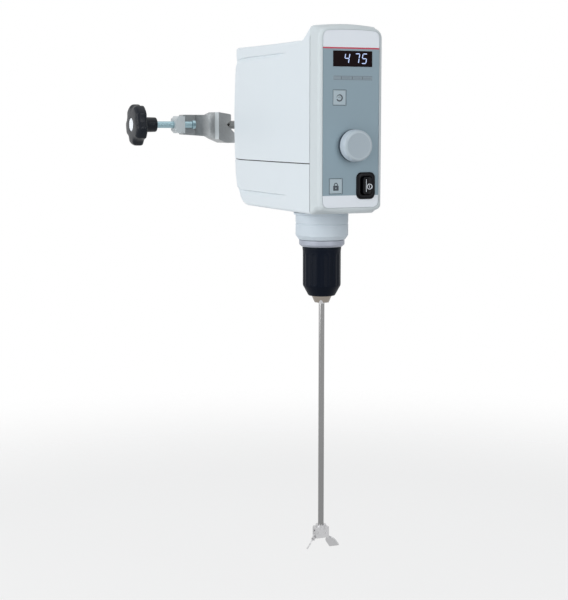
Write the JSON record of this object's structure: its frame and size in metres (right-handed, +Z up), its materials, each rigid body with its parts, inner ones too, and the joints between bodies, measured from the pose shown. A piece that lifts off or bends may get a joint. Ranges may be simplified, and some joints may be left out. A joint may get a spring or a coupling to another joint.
{
  "type": "overhead stirrer",
  "caption": "Overhead stirrer: drive head with dial, display and power switch, keyless chuck, stirring shaft with folding impeller, mounting rod and boss head clamp.",
  "frame": {"origin": "axis of the stand rod bore in the boss head, level with its clamp screw", "axes": "+Z up along the stand rod, front panel facing -Y, +X to the right seen from the front"},
  "size_m": [0.2075, 0.3815, 0.5462],
  "materials": {
    "housing": "fine satin moulded plastic",
    "membrane": "smooth printed membrane",
    "window": "smoked window",
    "digits": "display block",
    "board": "circuit board",
    "key": "membrane key",
    "switch": "black moulded switch",
    "dial": "light grey dial",
    "steel": "turned steel",
    "cast": "cast alloy",
    "motor": "dark motor can",
    "gear": "moulded gear",
    "brass": "brass pinion",
    "seal": "rubber lip",
    "collar": "satin collar",
    "chuck_metal": "plated steel",
    "ring": "satin ring",
    "sleeve": "dark grip plastic",
    "knob": "black knob plastic",
    "cap": "white cap",
    "zinc": "zinc plated screw"
  },
  "bodies": {
    "head": {"front_shell": "housing", "rear_cover": "housing", "lower_case": "housing", "membrane_panel": "membrane", "display_window": "window", "display_module": "digits", "control_board": "board", "switch_frame": "switch", "dial_encoder": "steel", "base_frame": "cast", "motor_can": "motor", "upper_bearing": "steel", "lower_bearing": "steel", "spindle_seal": "seal", "neck_collar": "collar", "collar_screws": "steel", "power_inlet": "switch", "power_supply": "board", "driver_board": "board", "rod_socket": "cast", "mounting_rod": "steel", "rod_locknut": "steel", "boss_head": "cast", "case_screws": "steel", "frame_screws": "steel"},
    "spindle_line": {"spindle": "steel", "spindle_gear": "gear", "spindle_circlip": "steel", "chuck_ring": "ring", "chuck_body": "chuck_metal", "stirring_shaft": "steel", "impeller_yoke": "steel", "blade_pins": "steel"},
    "rotor": {"motor_shaft": "steel", "motor_pinion": "brass"},
    "grip_sleeve": {"chuck_sleeve": "sleeve", "chuck_nut": "brass"},
    "jaw_1": {"chuck_jaw_1": "steel"},
    "jaw_2": {"chuck_jaw_2": "steel"},
    "jaw_3": {"chuck_jaw_3": "steel"},
    "blade_l": {"blade_left": "steel"},
    "blade_r": {"blade_right": "steel"},
    "dial": {"speed_dial": "dial", "encoder_shaft": "steel"},
    "rocker": {"power_rocker": "switch"},
    "timer_key": {"key_timer": "key"},
    "lock_key": {"key_lock": "key"},
    "stand_tip": {"stand_pad": "zinc"},
    "stand_handle": {"stand_screw": "zinc", "stand_knob": "knob", "stand_knob_cap": "cap"},
    "rod_tip": {"rod_pad": "zinc"},
    "rod_handle": {"rod_screw": "zinc", "rod_knob": "knob", "rod_knob_cap": "cap"}
  },
  "joints": [
    {"name": "spindle_spin", "type": "hinge", "parent": "head", "child": "spindle_line", "pos_m": [0.03, -0.265, -0.1], "axis": [0, 0, 1], "continuous": true},
    {"name": "motor_spin", "type": "hinge", "parent": "head", "child": "rotor", "pos_m": [0.03, -0.225, -0.06], "axis": [0, 0, 1], "continuous": true},
    {"name": "sleeve_turn", "type": "hinge", "parent": "spindle_line", "child": "grip_sleeve", "pos_m": [0.03, -0.265, -0.15], "axis": [0, 0, -1], "range_deg": [0, 1440]},
    {"name": "jaw_1_slide", "type": "slide", "parent": "spindle_line", "child": "jaw_1", "axis": [0.1994, 0, 0.9799], "range_m": [0, 0.01001]},
    {"name": "jaw_2_slide", "type": "slide", "parent": "spindle_line", "child": "jaw_2", "axis": [-0.0997, 0.1727, 0.9799], "range_m": [0, 0.01001]},
    {"name": "jaw_3_slide", "type": "slide", "parent": "spindle_line", "child": "jaw_3", "axis": [-0.0997, -0.1727, 0.9799], "range_m": [0, 0.01001]},
    {"name": "blade_left_swing", "type": "hinge", "parent": "spindle_line", "child": "blade_l", "pos_m": [0.0255, -0.265, -0.43], "axis": [0, 1, 0], "range_deg": [-35, 55]},
    {"name": "blade_right_swing", "type": "hinge", "parent": "spindle_line", "child": "blade_r", "pos_m": [0.0345, -0.265, -0.43], "axis": [0, -1, 0], "range_deg": [-35, 55]},
    {"name": "dial_turn", "type": "hinge", "parent": "head", "child": "dial", "pos_m": [0.032, -0.3315, -0.0204], "axis": [0, -1, 0], "continuous": true},
    {"name": "rocker_tilt", "type": "hinge", "parent": "head", "child": "rocker", "pos_m": [0.0463, -0.3281, -0.0599], "axis": [0, 0, 1], "range_deg": [-18, 0]},
    {"name": "timer_press", "type": "slide", "parent": "head", "child": "timer_key", "axis": [0, 1, 0], "range_m": [0, 0.0006], "stiffness_N_per_m": 1500},
    {"name": "lock_press", "type": "slide", "parent": "head", "child": "lock_key", "axis": [0, 1, 0], "range_m": [0, 0.0006], "stiffness_N_per_m": 1500},
    {"name": "stand_feed", "type": "slide", "parent": "head", "child": "stand_tip", "axis": [1, 0, 0], "range_m": [-0.00626, 0]},
    {"name": "stand_turn", "type": "hinge", "parent": "stand_tip", "child": "stand_handle", "pos_m": [-0.05, 0, 0], "axis": [1, 0, 0], "range_deg": [-1800, 0]},
    {"name": "rod_feed", "type": "slide", "parent": "head", "child": "rod_tip", "axis": [-1, 0, 0], "range_m": [-0.00626, 0]},
    {"name": "rod_turn", "type": "hinge", "parent": "rod_tip", "child": "rod_handle", "pos_m": [0.08, 0, 0], "axis": [-1, 0, 0], "range_deg": [-1800, 0]}
  ],
  "couplings": [
    {"joint": "motor_spin", "follows": "spindle_spin", "ratio": -3},
    {"joint": "jaw_1_slide", "follows": "sleeve_turn", "m_per_rad": 0.00039789},
    {"joint": "jaw_2_slide", "follows": "sleeve_turn", "m_per_rad": 0.00039789},
    {"joint": "jaw_3_slide", "follows": "sleeve_turn", "m_per_rad": 0.00039789},
    {"joint": "stand_feed", "follows": "stand_turn", "m_per_rad": 0.00019894},
    {"joint": "rod_feed", "follows": "rod_turn", "m_per_rad": 0.00019894}
  ]
}
